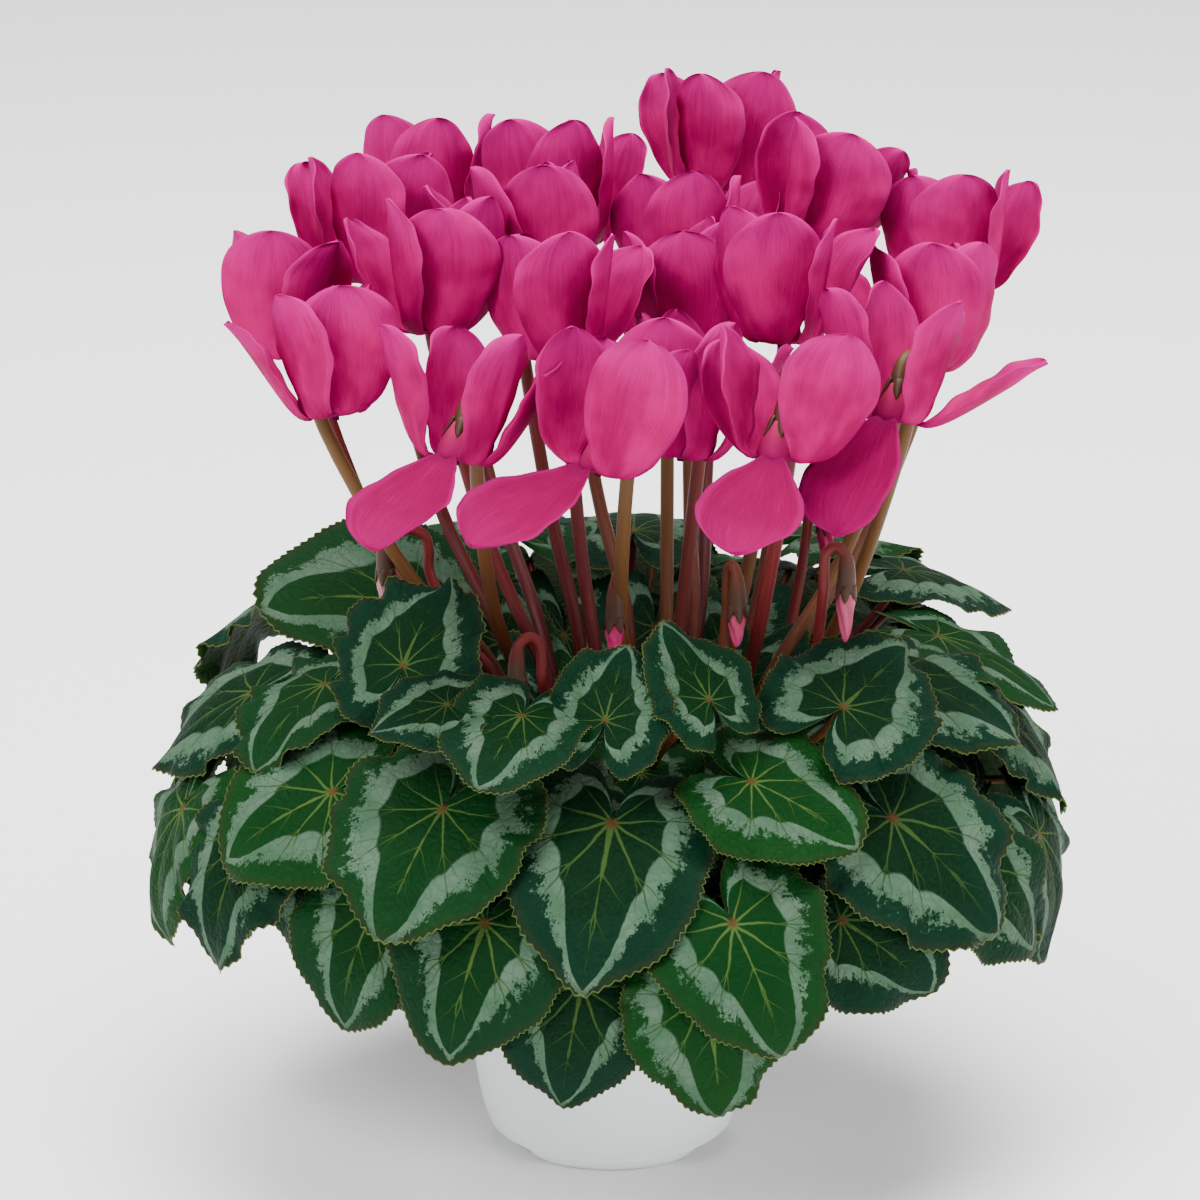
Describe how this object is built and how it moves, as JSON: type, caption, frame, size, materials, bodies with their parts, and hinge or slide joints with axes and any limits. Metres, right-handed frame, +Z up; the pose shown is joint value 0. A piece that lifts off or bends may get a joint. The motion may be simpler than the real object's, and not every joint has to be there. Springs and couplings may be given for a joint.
{
  "type": "potted cyclamen",
  "caption": "Flowering cyclamen in a small tapered plastic pot: a dome of patterned heart-shaped leaves under a cluster of nodding blooms with swept-back petals.",
  "frame": {"origin": "on the floor under the middle of the plant, on the pot's axis to within a few millimetres", "axes": "+Z up the pot's axis; -Y towards the side of the plant that the picture shows as its front; +X to that view's right"},
  "size_m": [0.2946, 0.2843, 0.3343],
  "materials": {
    "pot": "satin",
    "soil": "matte",
    "stalk": "satin",
    "leaf": "satin",
    "bloom": "satin",
    "bud": "satin"
  },
  "bodies": {
    "root": {"pot": "pot", "soil": "soil", "tuber_and_stalks": "stalk", "leaf_01": "leaf", "leaf_02": "leaf", "leaf_03": "leaf", "leaf_04": "leaf", "leaf_05": "leaf", "leaf_06": "leaf", "leaf_07": "leaf", "leaf_08": "leaf", "leaf_09": "leaf", "leaf_10": "leaf", "leaf_11": "leaf", "leaf_12": "leaf", "leaf_13": "leaf", "leaf_14": "leaf", "leaf_15": "leaf", "leaf_16": "leaf", "leaf_17": "leaf", "leaf_18": "leaf", "leaf_19": "leaf", "leaf_20": "leaf", "leaf_21": "leaf", "leaf_22": "leaf", "leaf_23": "leaf", "leaf_24": "leaf", "leaf_25": "leaf", "leaf_26": "leaf", "leaf_27": "leaf", "leaf_28": "leaf", "leaf_29": "leaf", "leaf_30": "leaf", "bloom_01": "bloom", "bloom_02": "bloom", "bloom_03": "bloom", "bloom_04": "bloom", "bloom_05": "bloom", "bloom_06": "bloom", "bloom_07": "bloom", "bloom_08": "bloom", "bloom_09": "bloom", "bloom_10": "bloom", "bloom_11": "bloom", "bloom_12": "bloom", "bloom_13": "bloom", "bloom_14": "bloom", "bloom_15": "bloom", "bloom_16": "bloom", "bloom_17": "bloom", "bloom_18": "bloom", "bloom_19": "bloom", "bloom_20": "bloom", "bud_01": "bud", "bud_02": "bud", "bud_03": "bud", "bud_04": "bud", "bud_05": "bud", "bud_06": "bud", "bud_07": "bud"}
  },
  "joints": []
}
